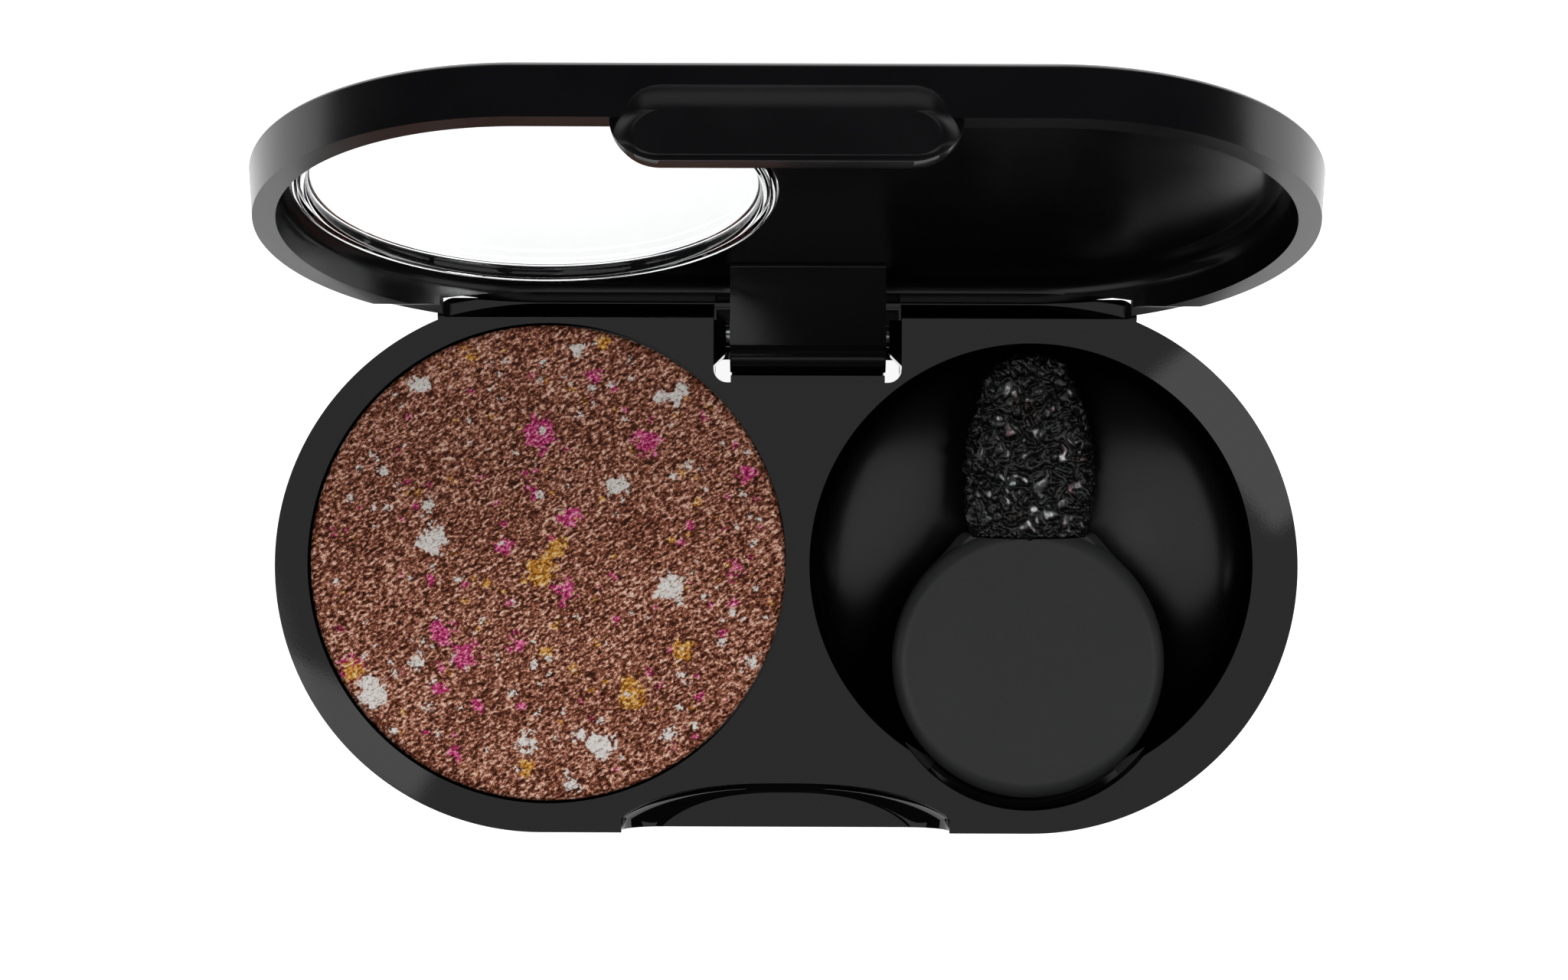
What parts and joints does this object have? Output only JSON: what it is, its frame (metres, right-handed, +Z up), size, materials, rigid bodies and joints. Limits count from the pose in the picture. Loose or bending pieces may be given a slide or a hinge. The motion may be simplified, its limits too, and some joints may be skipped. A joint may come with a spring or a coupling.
{
  "type": "eyeshadow compact",
  "caption": "Small round-ended pocket compact: a baked shadow disc beside a bowl-shaped well with a disc-handled sponge applicator, under a hinged lid with a round clear window.",
  "frame": {"origin": "centre of the flat underside of the base, midway between the round ends", "axes": "+X along the compact towards the applicator well, +Y towards the hinge, +Z up out of the deck"},
  "size_m": [0.0676, 0.0479, 0.0389],
  "materials": {
    "satin_black": "satin moulded plastic",
    "gloss_black": "smooth semi-gloss moulded plastic",
    "applicator_black": "fine satin",
    "pin_steel": "drawn bright wire",
    "adhesive": "foam tape",
    "tile": "unglazed",
    "powder": "shimmering baked powder with coloured flakes",
    "sponge": "open-cell latex foam",
    "clear": "clear polished plastic"
  },
  "bodies": {
    "base": {"bottom_cover": "satin_black", "deck_body": "satin_black", "hinge_pin": "pin_steel", "tile_adhesive": "adhesive", "powder_tile": "tile", "pressed_powder": "powder"},
    "lid": {"lid_shell": "gloss_black", "window_lens": "clear"},
    "applicator": {"applicator_handle": "applicator_black", "sponge_tip": "sponge"}
  },
  "joints": [
    {"name": "lid_hinge", "type": "hinge", "parent": "base", "child": "lid", "pos_m": [0, 0.01512, 0.00711], "axis": [-1, 0, 0], "range_deg": [-108.7, 0]},
    {"name": "applicator_lift", "type": "slide", "parent": "base", "child": "applicator", "axis": [0, 0, 1], "range_m": [0, 0.03]}
  ]
}
